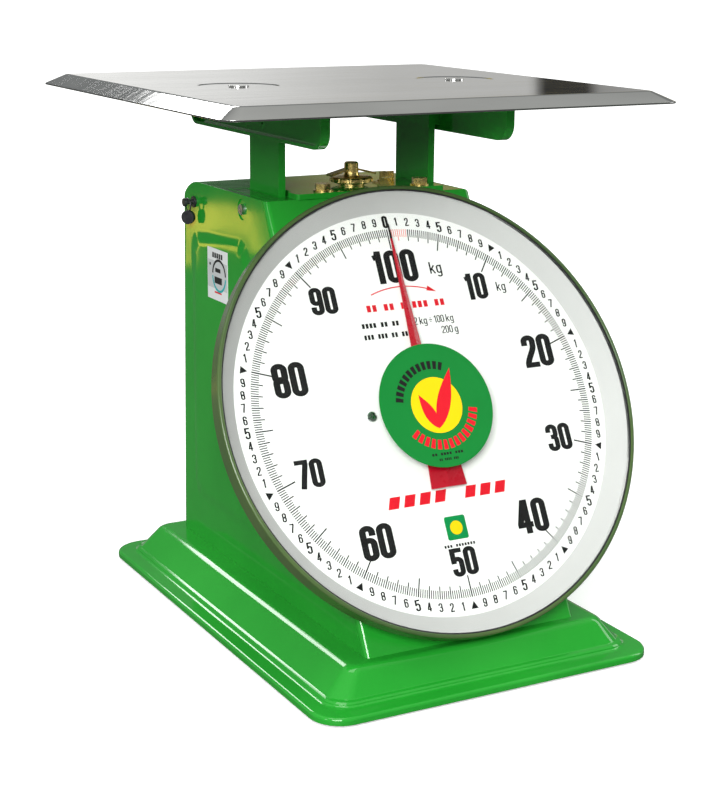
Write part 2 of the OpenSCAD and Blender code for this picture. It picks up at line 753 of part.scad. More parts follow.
// Countersunk, flush with the web
module bracket_screws() color(green)
    both_sides() for (p = bracket_screw_yz) translate([web_x + bracket_t, p[0], p[1]]) rotate([0, 90, 0])
        difference() {
            rotate_extrude() polygon([[0, pillar_x - web_x - bracket_t], [2.5, pillar_x - web_x - bracket_t],
                                      [2.5, -2.1], [4.5, -0.1], [4.5, 0], [0, 0]]);
            translate([0, 0, -1.2]) cylinder(h = 3, r = 1.6, $fn = 6);
        }

module pillar() {
    difference() {
        box([pillar_x, pillar_y0, pillar_bottom], [pillar_x + pillar_t, pillar_y1, bracket_top]);
        for (p = bracket_screw_yz) rod_x(pillar_x - 5, pillar_x + 9, p[0], p[1], 2.5);
        for (z = [lower_z, upper_z]) rod_x(pillar_x - 5, pillar_x + 9, guide_y, z + lever_drop, pin_r);
        for (y = [14, 36]) rod_x(pillar_x - 5, pillar_x + 9, y, 98, 2.55);
    }
}

module pillar_left() color(green) mirror([1, 0, 0]) pillar();

module pillar_right() color(green) pillar();

module guide_pins() color(steel)
    both_sides() for (z = [lower_z, upper_z]) {
        rod_x(arm_x - 1, pillar_x + pillar_t, guide_y, z + lever_drop, pin_r);
        rod_x(pillar_x + pillar_t, pillar_x + pillar_t + 1.6, guide_y, z + lever_drop, 5);
    }

module crossbar() color(dark_steel)
    difference() {
        union() {
            box([-pillar_x, 6, bar_z0], [pillar_x, 44, bar_z1]);
            box([-9, 44 - eps, 96], [9, 76, 101]);
            for (s = [-1, 1]) box([s * spring_x - 8, mech_y - 3, bar_z1 - eps],
                                  [s * spring_x + 8, mech_y + 3, low_hook_z]);
            box([-6, -8, bar_z0], [1, 6 + eps, bar_z1]);
        }
        hook_hole(114 + hook_play, mech_y - 9, mech_y + 9);
        for (s = [-1, 1], y = [14, 36]) rod_x(s * pillar_x - 12, s * pillar_x + 12, y, 98, 2.5);
        translate([0, 66, 90]) cylinder(h = 20, r = 2);
        rod_x(-20, 20, -3, 98, 1.5);
    }

module crossbar_screws() color(steel) {
    both_sides() for (y = [14, 36]) translate([pillar_x + pillar_t, y, 98]) rotate([0, 90, 0])
        hex_bolt(2.5, pillar_t + 12, 7, 3, 5, 0.8);
    translate([-6 - 2.4, -3, 98]) rotate([0, -90, 0]) slotted_screw(1.5, 2.4 + 7, 3, 1.8, 0.8);
}

// ---------------------------------------------------------------- parallel levers

module lever(z) {
    translate([0, pivot_y, z]) rotate([-lever_swing / 2, 0, 0]) difference() {
        union() {
            both_sides() {
                box([arm_x, -lever_len - 8, -6], [arm_x + arm_t, 4, 6]);
                rod_x(arm_x - 2, arm_x + arm_t + 2, 0, 0, 8);
            }
            rod_x(-arm_x - eps, arm_x + eps, -46, 0, 4);
        }
        rod_x(-arm_x - 12, arm_x + 12, 0, 0, shaft_r + fit);
        // Slots that leave the guide pins room for the lever's arc
        for (d = [-0.3, 0.35, 1.1]) rod_x(-arm_x - 12, arm_x + 12, d - lever_len, 0, pin_r + 0.15);
    }
}

module upper_lever() color(dark_steel) lever(upper_z);

module lower_lever() color(dark_steel) lever(lower_z);

module lever_shafts() color(steel)
    for (z = [lower_z, upper_z]) {
        rod_x(-side_x - side_t, side_x + side_t, pivot_y, z, shaft_r);
        both_sides() rod_x(side_x + side_t, side_x + side_t + 1.5, pivot_y, z, 6);
    }

// ---------------------------------------------------------------- rack, pinion and pointer

function involute(rb, r) = let (a = acos(rb / r)) tan(a) * 180 / PI - a;

// Pinion outline: involute flanks from the base circle, radial below it
base_circle = pinion_r * cos(pressure);
tip_r = pinion_r + gear_module;
root_r = pinion_r - 1.2 * gear_module;
half_tooth = 90 / pinion_teeth + involute(base_circle, pinion_r) - 0.45;
flank_radii = [base_circle, pinion_r - 0.05, pinion_r + 0.22, tip_r];

function polar(r, a) = [r * cos(a), r * sin(a)];
function tooth(c) = concat(
    [polar(root_r, c - half_tooth)],
    [for (r = flank_radii) polar(r, c - half_tooth + involute(base_circle, r))],
    [for (i = [len(flank_radii) - 1:-1:0])
        polar(flank_radii[i], c + half_tooth - involute(base_circle, flank_radii[i]))],
    [polar(root_r, c + half_tooth)]);

module pinion() color(brass) at_dial(pinion_t - 4)
    difference() {
        linear_extrude(8) polygon([for (k = [0:pinion_teeth - 1]) each tooth(360 * k / pinion_teeth)]);
        translate([0, 0, -1]) cylinder(h = 12, r = 1.5);
    }

rack_pitch = PI * gear_module;
rack_tip = pinion_r - 0.8 * gear_module;
rack_root = pinion_r + 1.25 * gear_module;
rack_back = 9.5;

// Rack teeth point to the pinion; a gap is centred on v = 0
function rack_tooth(v) =
    let (h = rack_pitch / 4 - 0.03, k = tan(pressure))
    [[rack_root, v - h - (rack_root - pinion_r) * k], [rack_tip, v - h + (pinion_r - rack_tip) * k],
     [rack_tip, v + h - (pinion_r - rack_tip) * k], [rack_root, v + h + (rack_root - pinion_r) * k]];

module rack() color(brass) at_dial(pinion_t - 2.5)
    difference() {
        union() {
            linear_extrude(5) polygon(concat(
                [for (k = [-3:17]) each rack_tooth((k + 0.5) * rack_pitch)],
                [[rack_root, 31], [rack_back, 31], [rack_back, -68], [rack_root, -68]]));
            // Head with the slot that the drive pin slides in
            box([rack_root, rack_pin_v - 6, slot_t - slide_span - 6], [rack_back, rack_pin_v + 6, 5]);
        }
        rack_slot();
    }

// The slot runs inwards along the dial's normal, from the drive pin's place at rest
slot_t = rack_pin_t - pinion_t + 2.5;

module rack_slot() {
    t0 = slot_t - slide_span - 0.3;
    t1 = slot_t + 0.3;
    for (t = [t0, t1]) translate([0, rack_pin_v, t]) rotate([0, 90, 0]) cylinder(h = 20, r = 2.1);
    box([0, rack_pin_v - 2.1, t0], [20, rack_pin_v + 2.1, t1]);
}

// World place of the drive pin at rest
pin_y = dial_y + rack_pin_v * sin(dial_tilt) - rack_pin_t * cos(dial_tilt);
pin_z = dial_z + rack_pin_v * cos(dial_tilt) + rack_pin_t * sin(dial_tilt);

// Arm that carries the pin, with the temperature-compensating strip as its blade
module bimetal_arm() color(brass) {
    difference() {
        along_x(-8.4, -6) polygon(rounded([[0, 93], [0, 103], [pin_y - 4, pin_z + 4],
                                           [pin_y - 4, pin_z - 4]], 3, 4));
        rod_x(-20, 20, -3, 98, 1.5);
        rod_x(-20, 20, pin_y, pin_z, 1.6);
    }
}

module rack_pin() color(steel) {
    rod_x(-8.4, rack_back + 2, pin_y, pin_z, 1.6);
    rod_x(-6, 3.2, pin_y, pin_z, 3);
}

shaft_back = -60;

module pointer_shaft() color(steel) at_dial(shaft_back) cylinder(h = -shaft_back - 3.5, r = 1.5);

plate_front = -35;
plate_rear = -57;
bearing_r = 3.5;

module gear_frame() color(brass) at_dial() {
    difference() {
        union() {
            for (t = [plate_front, plate_rear]) translate([-22, -28, t]) cube([44, 56, 2]);
            for (x = [-17, 17], v = [-23, 23]) translate([x, v, plate_rear])
                cylinder(h = face_t - sheet - plate_rear, r = 3);
            // Guide that backs the rack
            box([rack_back + 0.3, -14, plate_rear + 1], [rack_back + 4, 14, plate_front + 1]);
        }
        for (t = [plate_front, plate_rear]) translate([0, 0, t - 2]) cylinder(h = 6, r = bearing_r);
    }
}

module shaft_bushes() color(brass) at_dial()
    for (t = [plate_front, plate_rear]) translate([0, 0, t - 0.5])
        tube(bearing_r, 1.5 + fit, 3);

module pointer_hub() color(brass) at_dial(-9)
    difference() {
        rotate_extrude() polygon([[0, 0], [5, 0], [5, 1.6], [3.2, 1.9], [3.2, 5.2], [2.6, 5.8], [0, 5.8]]);
        translate([0, 0, -1]) cylinder(h = 6.5, r = 1.5);
    }

pointer_len = 140;
tail_len = 58;

module pointer() color("red") at_dial(-7)
    difference() {
        linear_extrude(0.8) polygon([
            [0.35, pointer_len], [4.2, 46], [6, 10], [6, -28], [13, -40], [14.5, -tail_len],
            [-14.5, -tail_len], [-13, -40], [-6, -28], [-6, 10], [-4.2, 46], [-0.35, pointer_len]]);
        translate([0, 0, -1]) cylinder(h = 3, r = 3.25);
    }

// ---------------------------------------------------------------- damper and stops

module damper_cylinder() color(steel) translate([0, 66, platform_z])
    difference() {
        cylinder(h = 38, r = 16);
        translate([0, 0, 2.5]) cylinder(h = 40, r = 14);
    }

module damper_lid() color(dark_steel) translate([0, 66, platform_z + 38])
    difference() {
        cylinder(h = 2, r = 16);
        translate([0, 0, -1]) cylinder(h = 5, r = 3);
    }

module damper_piston() color(steel) translate([0, 66, 0]) {
    translate([0, 0, 59.5]) cylinder(h = 4, r = 13.2);
    translate([0, 0, 60]) cylinder(h = 46, r = 2);
    translate([0, 0, 101]) cylinder(h = 3.2, r = 4.6, $fn = 6);
}

stop_top = bar_z0 - travel - 0.4;

module overload_stops() color(steel)
    for (s = [-1, 1]) translate([s * 40, 24, platform_z]) {
        cylinder(h = stop_top - platform_z - 4, r = 4);
        cylinder(h = 6, r = 8, $fn = 6);
        translate([0, 0, stop_top - platform_z - 5]) cylinder(h = 5, r = 7);
    }

// ---------------------------------------------------------------- the assembly

base_plate();
rubber_feet();
front_frame();
wrap_cover();
cover_screws();
seal_bolt();
side_label();
dial_drum();
drum_screws();
bezel_ring();
lens_gasket();
lens();
lens_badge();
dial_reflector();
dial_plate();
dial_posts();
dial_screws();
frame_left();
frame_right();
frame_top();
frame_screws();
bridge_plate();
bridge_bolts();
zero_bush();
index_clip();
lever_shafts();
gear_frame();
shaft_bushes();
damper_cylinder();
damper_lid();
overload_stops();
pan();
pan_screws();
bracket_left();
bracket_right();
bracket_screws();
pillar_left();
pillar_right();
guide_pins();
crossbar();
crossbar_screws();
bimetal_arm();
rack_pin();
damper_piston();
upper_lever();
lower_lever();
rack();
pointer_shaft();
pinion();
pointer_hub();
pointer();
zero_knob();
zero_spindle();
hanger_bar();
main_springs();
seal_wire();
lead_seal();
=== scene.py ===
"""Looks of the mechanical dial platform scale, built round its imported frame. Metres, +Z up."""

import json
import math

import bmesh
import bpy
from mathutils import Matrix, Vector


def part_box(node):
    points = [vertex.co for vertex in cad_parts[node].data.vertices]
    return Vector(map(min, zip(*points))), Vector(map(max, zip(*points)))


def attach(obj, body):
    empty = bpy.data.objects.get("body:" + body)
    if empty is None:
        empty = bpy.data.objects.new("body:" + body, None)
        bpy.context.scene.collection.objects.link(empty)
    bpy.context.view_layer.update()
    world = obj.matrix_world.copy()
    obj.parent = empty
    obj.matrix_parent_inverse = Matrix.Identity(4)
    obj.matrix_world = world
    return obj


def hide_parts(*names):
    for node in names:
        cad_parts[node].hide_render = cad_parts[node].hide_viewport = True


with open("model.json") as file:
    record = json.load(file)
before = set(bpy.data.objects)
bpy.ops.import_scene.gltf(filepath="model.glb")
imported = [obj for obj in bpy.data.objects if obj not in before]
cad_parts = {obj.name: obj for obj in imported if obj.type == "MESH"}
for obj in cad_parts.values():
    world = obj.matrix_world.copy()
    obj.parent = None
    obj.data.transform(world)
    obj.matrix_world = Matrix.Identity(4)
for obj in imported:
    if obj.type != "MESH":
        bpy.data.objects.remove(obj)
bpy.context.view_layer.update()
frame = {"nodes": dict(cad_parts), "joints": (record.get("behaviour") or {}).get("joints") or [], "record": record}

MM = 0.001
NODES = frame["nodes"]
HOUSING = "housing"
JOINTS = {joint["name"]: joint for joint in frame["joints"]}


# ------------------------------------------------------------------ measures taken from the frame

def dial_matrix():
    """The dial's own frame: +X right, +Y up the dial, +Z out of it, its origin on the pointer's axis."""
    spin = JOINTS["pointer_spin"]
    out = -Vector(spin["axis"]).normalized()
    right = Vector((1, 0, 0))
    up = out.cross(right)
    m = Matrix((right, up, out)).transposed().to_4x4()
    m.translation = Vector(spin["pos_m"])
    return m


DIAL = dial_matrix()


def dial_span(node):
    """Lowest and highest corner of a CAD node in the dial's frame."""
    inverse = DIAL.inverted()
    points = [inverse @ v.co for v in NODES[node].data.vertices]
    return [Vector(pick(p[i] for p in points) for i in range(3)) for pick in (min, max)]


FACE = dial_span("dial_plate")[1].z
BADGE_TOP = dial_span("lens_badge")[1].z
PRINT = 0.05 * MM                                       # thickness of every printed layer


# ------------------------------------------------------------------ meshes

def add_piece(name, verts, faces, body, material, matrix=None):
    """A flat-shaded piece that rides on a body."""
    mesh = bpy.data.meshes.new(name)
    mesh.from_pydata([tuple(v) for v in verts], [], faces)
    if matrix is not None:
        mesh.transform(matrix)
    mesh.validate()
    mesh.update()
    bm = bmesh.new()
    bm.from_mesh(mesh)
    bmesh.ops.recalc_face_normals(bm, faces=bm.faces)
    bm.to_mesh(mesh)
    bm.free()
    mesh.polygons.foreach_set("use_smooth", [False] * len(mesh.polygons))
    piece = bpy.data.objects.new(name, mesh)
    bpy.context.scene.collection.objects.link(piece)
    mesh.materials.append(material)
    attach(piece, body)
    return piece


class Shapes:
    """Gathers closed shapes into one list of vertices and faces."""

    def __init__(self):
        self.verts = []
        self.faces = []

    def add(self, verts, faces, place=None):
        start = len(self.verts)
        self.verts += [place @ Vector(v) if place is not None else Vector(v) for v in verts]
        self.faces += [[start + i for i in face] for face in faces]

    def prism(self, outline, z0, z1, place=None):
        n = len(outline)
        verts = [(x, y, z0) for x, y in outline] + [(x, y, z1) for x, y in outline]
        sides = [[i, (i + 1) % n, n + (i + 1) % n, n + i] for i in range(n)]
        self.add(verts, [list(range(n))[::-1], list(range(n, 2 * n))] + sides, place)

    def ring(self, inner, outer, z0, z1, place=None):
        """A closed band between two outlines that have the same number of points."""
        n = len(outer)
        verts = [(x, y, z) for z in (z0, z1) for line in (inner, outer) for x, y in line]
        faces = []
        for i in range(n):
            j = (i + 1) % n
            faces += [[i, j, n + j, n + i], [2 * n + i, 3 * n + i, 3 * n + j, 2 * n + j],
                      [i, 2 * n + i, 2 * n + j, j], [n + i, n + j, 3 * n + j, 3 * n + i]]
        self.add(verts, faces, place)

    def piece(self, name, material, matrix=None):
        """One printed piece on the housing."""
        add_piece(name, self.verts, self.faces, HOUSING, material, matrix)


def arc(cx, cy, r, a0, a1, n):
    """Points on an arc, with its angles in degrees."""
    turns = [math.radians(a0 + (a1 - a0) * i / n) for i in range(n + 1)]
    return [(cx + r * math.cos(a), cy + r * math.sin(a)) for a in turns]


def circle(r, n):
    return arc(0, 0, r, 0, 360, n)[:-1]


def ribbon_sides(line, pen, closed):
    """The two edges of a pen stroke along a line, with mitred corners."""
    n = len(line)
    sides = ([], [])
    for i, (x, y) in enumerate(line):
        before = line[i - 1] if i > 0 or closed else None
        after = line[(i + 1) % n] if i < n - 1 or closed else None
        ways = []
        for a, b in ((before, (x, y)), ((x, y), after)):
            if a is not None and b is not None:
                ways.append(Vector((b[0] - a[0], b[1] - a[1])).normalized())
        normals = [Vector((-w.y, w.x)) for w in ways]
        middle = sum(normals, Vector((0, 0))).normalized()
        reach = pen / 2 / max(0.4, middle.dot(normals[0]))
        sides[0].append((x + middle.x * reach, y + middle.y * reach))
        sides[1].append((x - middle.x * reach, y - middle.y * reach))
    return sides


# ------------------------------------------------------------------ glyphs of the dial: digits, k and g

GLYPH_WIDTH = 0.385                                     # of a glyph one unit high, before its stretch
PEN_STRETCH = 1.3                                       # wider upright strokes, as condensed type has


def stadium(cx, r, y0, y1, n=10):
    """An upright loop with round ends."""
    return arc(cx, y1 - r, r, 0, 180, n) + arc(cx, y0 + r, r, 180, 360, n)


def glyph_strokes(char, pen):
    """Strokes of a glyph one unit high, as (line, closed), and the glyph's width before it is stretched."""
    w = GLYPH_WIDTH
    lo, hi = pen / 2, 1 - pen / 2
    left, right, mid = pen / 2, w - pen / 2, w / 2
    r = mid - pen / 2
    if char == "0":
        return [(stadium(mid, r, lo, hi), True)], w
    if char == "1":
        bar = 0.62 * w - pen / 2
        return [([(bar, 0), (bar, 1)], False),
                ([(0.02, 0.795), (0.13, 0.82), (bar, 0.965)], False)], 0.72 * w
    if char == "2":
        hook = [(left, 0.68)] + arc(mid, hi - r, r, 180, 0, 10)
        tail = [(right - 0.01, 0.63), (right - 0.04, 0.54), (left + 0.05, 0.27), (left + 0.01, 0.17),
                (left, lo)]
        return [(hook + tail, False), ([(0, lo), (w, lo)], False)], w
    if char == "3":
        top = [(left, 0.7)] + arc(mid, hi - r, r, 180, 0, 10)
        top += [(right, 0.66)] + arc(right - 0.1, 0.635, 0.1, 0, -80, 5)
        low = arc(right - 0.1, 0.425, 0.1, 80, 0, 5)
        low += arc(mid, lo + r, r, 0, -180, 10) + [(left, 0.3)]
        return [(top, False), (low, False), ([(0.36 * w, 0.53), (0.66 * w, 0.53)], False)], w
    if char == "4":
        bar = 0.7 * w
        return [([(bar, 0), (bar, 1)], False), ([(bar - 0.02, 0.985), (left - 0.01, 0.26)], False),
                ([(0, 0.26), (w + 0.02, 0.26)], False)], w + 0.02
    if char == "5":
        bowl = [(left, 0.5)] + arc(mid, 0.62 - r, r, 160, 0, 9)
        bowl += arc(mid, lo + r, r, 0, -180, 10) + [(left, 0.28)]
        return [([(w - 0.02, hi), (left, hi), (left, 0.46)], False), (bowl, False)], w
    if char in "69":
        line = [(right, 0.7)] + arc(mid, hi - r, r, 0, 180, 10) + arc(mid, lo + r, r, 180, 360, 10)
        line += arc(mid, 0.58 - r, r, 0, 172, 10)
        if char == "9":
            line = [(w - x, 1 - y) for x, y in line]
        return [(line, False)], w
    if char == "7":
        return [([(0, hi), (w, hi)], False),
                ([(right, hi), (right, 0.84), (mid + 0.02, 0.38), (mid - 0.05, 0)], False)], w
    if char == "8":
        return [(stadium(mid, r, 0.49, hi), True), (stadium(mid, r, lo, 0.54), True)], w
    if char == "k":
        return [([(left, 0), (left, 1)], False), ([(left, 0.26), (right + 0.01, 0.7)], False),
                ([(left + 0.1, 0.42), (right + 0.03, 0)], False)], w + 0.04
    if char == "g":
        hook = [(right, 0.7), (right, -0.1)] + arc(mid, -0.26 + r, r, 0, -165, 9)
        return [(stadium(mid, r, lo, 0.7 - lo), True), (hook, False)], w
    if char == "÷":
        dots = [([(mid, y - pen / 2), (mid, y + pen / 2)], False) for y in (0.22, 0.72)]
        return [([(0.02, 0.47), (w - 0.02, 0.47)], False)] + dots, w
    return [], 0.3 * w


def union_mesh(parts):
    """One clean mesh from closed shapes that overlap."""
    objects = []
    for shape in parts:
        mesh = bpy.data.meshes.new("stroke")
        mesh.from_pydata([tuple(v) for v in shape.verts], [], shape.faces)
        bm = bmesh.new()
        bm.from_mesh(mesh)
        bmesh.ops.recalc_face_normals(bm, faces=bm.faces)
        bm.to_mesh(mesh)
        bm.free()
        stroke = bpy.data.objects.new("stroke", mesh)
        bpy.context.scene.collection.objects.link(stroke)
        objects.append(stroke)
    for other in objects[1:]:
        cut = objects[0].modifiers.new("join", "BOOLEAN")
        cut.operation = "UNION"
        cut.solver = "EXACT"
        cut.object = other
    graph = bpy.context.evaluated_depsgraph_get()
    result = bpy.data.meshes.new_from_object(objects[0].evaluated_get(graph))
    verts = [v.co.copy() for v in result.vertices]
    faces = [list(p.vertices) for p in result.polygons]
    for stroke in objects:
        bpy.data.objects.remove(stroke)
    return verts, faces


glyph_store = {}


def glyph(char, pen):
    """Vertices and faces of a glyph one unit high and one unit thick, and its advance."""
    if (char, pen) not in glyph_store:
        strokes, width = glyph_strokes(char, pen)
        parts = []
        for line, closed in strokes:
            shape = Shapes()
            a, b = ribbon_sides(line, pen, closed)
            if closed:
                shape.ring(b, a, 0, 1)
            else:
                shape.prism(a + b[::-1], 0, 1)
            parts.append(shape)
        verts, faces = union_mesh(parts) if parts else ([], [])
        verts = [Vector((v.x * PEN_STRETCH, v.y, v.z)) for v in verts]
        glyph_store[char, pen] = verts, faces, width * PEN_STRETCH
    return glyph_store[char, pen]


def write(shapes, text, height, centre, pen, gap=0.07):
    """Lays a line of glyphs out round a centre on a printed face."""
    letters = [glyph(char, pen) for char in text]
    width = sum(letter[2] for letter in letters) + gap * (len(letters) - 1)
    x = -width / 2
    for verts, faces, advance in letters:
        place = (Matrix.Translation((centre[0], centre[1], 0)) @ Matrix.Diagonal((height, height, PRINT, 1))
                 @ Matrix.Translation((x, -0.5, 0)))
        shapes.add(verts, faces, place)
        x += advance + gap


# ------------------------------------------------------------------ materials

NOISE_LOW, NOISE_HIGH = 0.3, 0.7                        # the range that a noise mostly stays in


def new_material(name, color, **sockets):
    """A Principled material with its plain values set on the shader's own sockets."""
    mat = bpy.data.materials.new(name)
    mat.use_nodes = True
    shader = mat.node_tree.nodes["Principled BSDF"]
    shader.inputs["Base Color"].default_value = (*color, 1)
    for key, value in sockets.items():
        shader.inputs[key.replace("_", " ").title().replace("Ior", "IOR")].default_value = value
    mat.diffuse_color = (*color, 1)
    return mat


def grain(mat, scale, detail=3.0, stretch=(1, 1, 1)):
    """The Fac output of a noise that is fixed to the piece."""
    nodes, links = mat.node_tree.nodes, mat.node_tree.links
    place = nodes.new("ShaderNodeTexCoord")
    mapping = nodes.new("ShaderNodeMapping")
    mapping.inputs["Scale"].default_value = stretch
    noise = nodes.new("ShaderNodeTexNoise")
    noise.inputs["Scale"].default_value = scale
    noise.inputs["Detail"].default_value = detail
    links.new(place.outputs["Object"], mapping.inputs["Vector"])
    links.new(mapping.outputs["Vector"], noise.inputs["Vector"])
    return noise.outputs["Fac"]


def tint(mat, factor, dark, light):
    """Base colour between two tones, by a noise."""
    nodes, links = mat.node_tree.nodes, mat.node_tree.links
    ramp = nodes.new("ShaderNodeValToRGB")
    ramp.color_ramp.elements[0].position = NOISE_LOW
    ramp.color_ramp.elements[0].color = (*dark, 1)
    ramp.color_ramp.elements[1].position = NOISE_HIGH
    ramp.color_ramp.elements[1].color = (*light, 1)
    links.new(factor, ramp.inputs["Fac"])
    links.new(ramp.outputs["Color"], nodes["Principled BSDF"].inputs["Base Color"])


def roughen(mat, factor, low, high):
    """Roughness between two values, by a noise."""
    nodes, links = mat.node_tree.nodes, mat.node_tree.links
    spread = nodes.new("ShaderNodeMapRange")
    spread.inputs["From Min"].default_value = NOISE_LOW
    spread.inputs["From Max"].default_value = NOISE_HIGH
    spread.inputs["To Min"].default_value = low
    spread.inputs["To Max"].default_value = high
    links.new(factor, spread.inputs["Value"])
    links.new(spread.outputs["Result"], nodes["Principled BSDF"].inputs["Roughness"])


def bump(mat, factor, strength, distance):
    nodes, links = mat.node_tree.nodes, mat.node_tree.links
    lift = nodes.new("ShaderNodeBump")
    lift.inputs["Strength"].default_value = strength
    lift.inputs["Distance"].default_value = distance
    links.new(factor, lift.inputs["Height"])
    links.new(lift.outputs["Normal"], nodes["Principled BSDF"].inputs["Normal"])


def green_paint():
    mat = new_material("green_paint", (0.016, 0.3, 0.024), roughness=0.1, specular_ior_level=0.5)
    tint(mat, grain(mat, 9, 4), (0.012, 0.27, 0.02), (0.02, 0.32, 0.028))
    roughen(mat, grain(mat, 40, 4), 0.05, 0.09)
    bump(mat, grain(mat, 420, 2), 0.04, 0.1 * MM)
    return mat


# Painted shade and painted reflection: a darker, olive copy of the green paint for the bezel ring, standing in for
# the shade and olive reflections on the rim.
def rim_green():
    mat = new_material("rim_green", (0.05, 0.1, 0.03), roughness=0.22)
    tint(mat, grain(mat, 12, 4), (0.04, 0.085, 0.025), (0.07, 0.12, 0.035))
    roughen(mat, grain(mat, 60, 4), 0.18, 0.26)
    return mat


def polished_steel():
    mat = new_material("polished_steel", (0.6, 0.6, 0.58), metallic=1.0, roughness=0.12)
    tint(mat, grain(mat, 5, 5, (1, 3, 1)), (0.50, 0.50, 0.49), (0.66, 0.66, 0.65))
    roughen(mat, grain(mat, 14, 6, (1, 14, 1)), 0.04, 0.1)
    bump(mat, grain(mat, 38, 2), 0.08, 0.25 * MM)
    return mat


def rubber():
    mat = new_material("rubber", (0.012, 0.012, 0.012), roughness=0.75)
    tint(mat, grain(mat, 300), (0.009, 0.009, 0.009), (0.018, 0.018, 0.018))
    bump(mat, grain(mat, 900, 2), 0.3, 0.1 * MM)
    return mat


def plated_steel():
    mat = new_material("plated_steel", (0.68, 0.69, 0.7), metallic=1.0, roughness=0.3)
    tint(mat, grain(mat, 90, 5), (0.5, 0.51, 0.52), (0.72, 0.73, 0.74))
    roughen(mat, grain(mat, 220, 4), 0.2, 0.42)
    return mat


def dark_steel():
    mat = new_material("dark_steel", (0.045, 0.045, 0.05), metallic=0.6, roughness=0.4)
    tint(mat, grain(mat, 120, 4), (0.03, 0.03, 0.034), (0.07, 0.07, 0.076))
    roughen(mat, grain(mat, 160, 4), 0.3, 0.5)
    return mat


def brass():
    mat = new_material("brass", (0.78, 0.56, 0.2), metallic=1.0, roughness=0.28)
    tint(mat, grain(mat, 70, 4), (0.62, 0.46, 0.13), (0.86, 0.66, 0.26))
    roughen(mat, grain(mat, 240, 3), 0.18, 0.36)
    bump(mat, grain(mat, 700, 2), 0.1, 0.05 * MM)
    return mat


def clear_lens():
    """A pane that lets light straight through and mirrors a little of it."""
    mat = bpy.data.materials.new("clear_lens")
    mat.use_nodes = True
    nodes, links = mat.node_tree.nodes, mat.node_tree.links
    nodes.remove(nodes["Principled BSDF"])
    clear = nodes.new("ShaderNodeBsdfTransparent")
    clear.inputs["Color"].default_value = (0.985, 0.995, 0.99, 1)
    gloss = nodes.new("ShaderNodeBsdfGlossy")
    gloss.inputs["Roughness"].default_value = 0.02
    edge = nodes.new("ShaderNodeFresnel")
    edge.inputs["IOR"].default_value = 1.16
    mix = nodes.new("ShaderNodeMixShader")
    links.new(edge.outputs["Fac"], mix.inputs["Fac"])
    links.new(clear.outputs["BSDF"], mix.inputs[1])
    links.new(gloss.outputs["BSDF"], mix.inputs[2])
    links.new(mix.outputs["Shader"], nodes["Material Output"].inputs["Surface"])
    return mat


def film(name, color, spread=0.06, roughness=0.4, scale=40):
    """Ink, film or lacquer: nearly one colour, with a little unevenness and its own gloss."""
    mat = new_material(name, color, roughness=roughness, specular_ior_level=0.25)
    dark = tuple(c * (1 - spread) for c in color)
    tint(mat, grain(mat, scale, 4), dark, color)
    roughen(mat, grain(mat, scale * 6, 3), roughness - 0.06, roughness + 0.06)
    return mat


def pointer_red():
    mat = film("pointer_red", (0.46, 0.002, 0.015), 0.12, 0.3)
    mat.node_tree.nodes["Principled BSDF"].inputs["Coat Weight"].default_value = 0.6
    return mat


def lead():
    mat = new_material("lead", (0.02, 0.02, 0.023), metallic=0.5, roughness=0.45)
    tint(mat, grain(mat, 260, 5), (0.012, 0.012, 0.014), (0.04, 0.04, 0.045))
    bump(mat, grain(mat, 500, 3), 0.4, 0.15 * MM)
    return mat


MATERIALS = {
    "green_paint": green_paint(),
    "polished_steel": polished_steel(),
    "rubber": rubber(),
    "plated_steel": plated_steel(),
    "dark_steel": dark_steel(),
    "brass": brass(),
    "clear_lens": clear_lens(),
    "badge_green": film("badge_green", (0.0, 0.2, 0.026), 0.05, 0.5),
    "reflector_grey": film("reflector_grey", (0.56, 0.555, 0.545), 0.03, 0.6),
    "dial_white": film("dial_white", (0.93, 0.925, 0.9), 0.012, 0.4, 12),
    "label_white": film("label_white", (0.75, 0.77, 0.78), 0.04, 0.4),
    "pointer_red": pointer_red(),
    "lead": lead(),
}
RIM_PAINTED_SHADE = rim_green()
INK_BLACK = film("ink_black", (0.006, 0.006, 0.006), 0.3, 0.6)
INK_GREY = film("ink_grey", (0.02, 0.02, 0.02), 0.2, 0.6)
INK_RED = film("ink_red", (0.72, 0.008, 0.02), 0.08, 0.4)
INK_PINK = film("ink_pink", (0.88, 0.32, 0.3), 0.06, 0.45)
INK_GREEN = film("ink_green", (0.0, 0.25, 0.06), 0.05, 0.4)
INK_YELLOW = film("ink_yellow", (0.98, 0.62, 0.0), 0.04, 0.4)
INK_TEAL = film("ink_teal", (0.02, 0.38, 0.4), 0.05, 0.4)
INK_SILVER = film("ink_silver", (0.55, 0.57, 0.58), 0.05, 0.4)


# ------------------------------------------------------------------ CAD nodes that are kept

# Widths of the rounded edges, in millimetres, by material and for single nodes
SOFT_EDGE = {"green_paint": 0.5, "polished_steel": 0.3, "brass": 0.2, "plated_steel": 0.2, "dark_steel": 0.2}
WIDE_EDGE = {"bracket_left": 1.1, "bracket_right": 1.1, "pan": 0.35}
OTHER_EDGE = 0.3
SMOOTH_UNDER = math.radians(26)
ROUND_OVER = math.radians(32)
SHARP = ("lens", "dial_plate", "dial_reflector", "lens_badge", "side_label", "main_springs", "pinion",
         "rack", "seal_wire", "lens_gasket")
# The bezel ring takes the darker olive copy of the green paint: painted shade and painted reflection.
OWN_FINISH = {"dial_screws": MATERIALS["plated_steel"], "seal_wire": MATERIALS["dark_steel"],
              "bezel_ring": RIM_PAINTED_SHADE}


